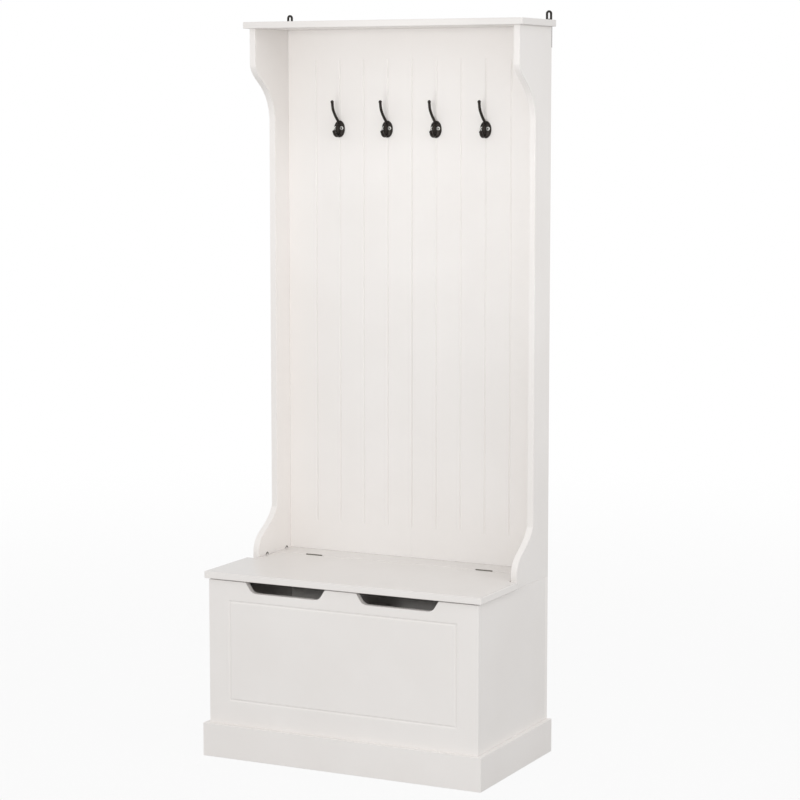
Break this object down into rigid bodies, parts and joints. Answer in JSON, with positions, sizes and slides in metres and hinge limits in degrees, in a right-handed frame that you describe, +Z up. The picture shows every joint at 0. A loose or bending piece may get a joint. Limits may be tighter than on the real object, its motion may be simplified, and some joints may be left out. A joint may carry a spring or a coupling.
{
  "type": "hall tree with hooks",
  "caption": "Tall painted hall tree: a plinth-based bench chest with a hinged seat lid, a grooved back between shaped sides, a top board and a row of double coat hooks.",
  "frame": {"origin": "on the floor, under the middle of the whole part's box", "axes": "+Z up, the front faces -Y and the wall side faces +Y, +X to the right of someone who faces the front"},
  "size_m": [0.712, 0.4, 1.722],
  "materials": {
    "painted_panel": "warm white satin paint on fibreboard",
    "hook_iron": "satin dark bronze",
    "bracket_steel": "black coated steel",
    "bright_screw": "zinc plated, bright",
    "hinge_steel": "satin plated steel",
    "cam_zinc": "dull die-cast zinc",
    "bumper_rubber": "translucent soft pad"
  },
  "bodies": {
    "carcass": {"back_board_left": "painted_panel", "back_board_right": "painted_panel", "bracket_screw_left_1": "bright_screw", "bracket_screw_left_2": "bright_screw", "bracket_screw_right_1": "bright_screw", "bracket_screw_right_2": "bright_screw", "cam_bolt_left_front": "bright_screw", "cam_bolt_left_rear": "bright_screw", "cam_bolt_right_front": "bright_screw", "cam_bolt_right_rear": "bright_screw", "cam_lock_left_front": "cam_zinc", "cam_lock_left_rear": "cam_zinc", "cam_lock_right_front": "cam_zinc", "cam_lock_right_rear": "cam_zinc", "chest_back": "painted_panel", "chest_floor_panel": "painted_panel", "chest_front": "painted_panel", "chest_left": "painted_panel", "chest_right": "painted_panel", "coat_hook_1": "hook_iron", "coat_hook_2": "hook_iron", "coat_hook_3": "hook_iron", "coat_hook_4": "hook_iron", "hinge_fixed_leaf_left": "hinge_steel", "hinge_fixed_leaf_right": "hinge_steel", "hinge_pin_left": "hinge_steel", "hinge_pin_right": "hinge_steel", "hinge_screw_fixed_left_1": "hinge_steel", "hinge_screw_fixed_left_2": "hinge_steel", "hinge_screw_fixed_right_1": "hinge_steel", "hinge_screw_fixed_right_2": "hinge_steel", "hook_screw_1_1": "bright_screw", "hook_screw_1_2": "bright_screw", "hook_screw_2_1": "bright_screw", "hook_screw_2_2": "bright_screw", "hook_screw_3_1": "bright_screw", "hook_screw_3_2": "bright_screw", "hook_screw_4_1": "bright_screw", "hook_screw_4_2": "bright_screw", "hutch_side_left": "painted_panel", "hutch_side_right": "painted_panel", "plinth_front": "painted_panel", "plinth_left": "painted_panel", "plinth_right": "painted_panel", "seam_batten": "painted_panel", "seat_rail": "painted_panel", "top_board": "painted_panel", "top_rail": "painted_panel", "wall_bracket_left": "bracket_steel", "wall_bracket_right": "bracket_steel"},
    "lid": {"hinge_lid_leaf_left": "hinge_steel", "hinge_lid_leaf_right": "hinge_steel", "hinge_screw_lid_left_1": "hinge_steel", "hinge_screw_lid_left_2": "hinge_steel", "hinge_screw_lid_right_1": "hinge_steel", "hinge_screw_lid_right_2": "hinge_steel", "lid_bumper_left": "bumper_rubber", "lid_bumper_right": "bumper_rubber", "seat_lid": "painted_panel"}
  },
  "joints": [
    {"name": "lid_hinge", "type": "hinge", "parent": "carcass", "child": "lid", "pos_m": [0, 0.102, 0.436], "axis": [-1, 0, 0], "range_deg": [0, 88]}
  ]
}
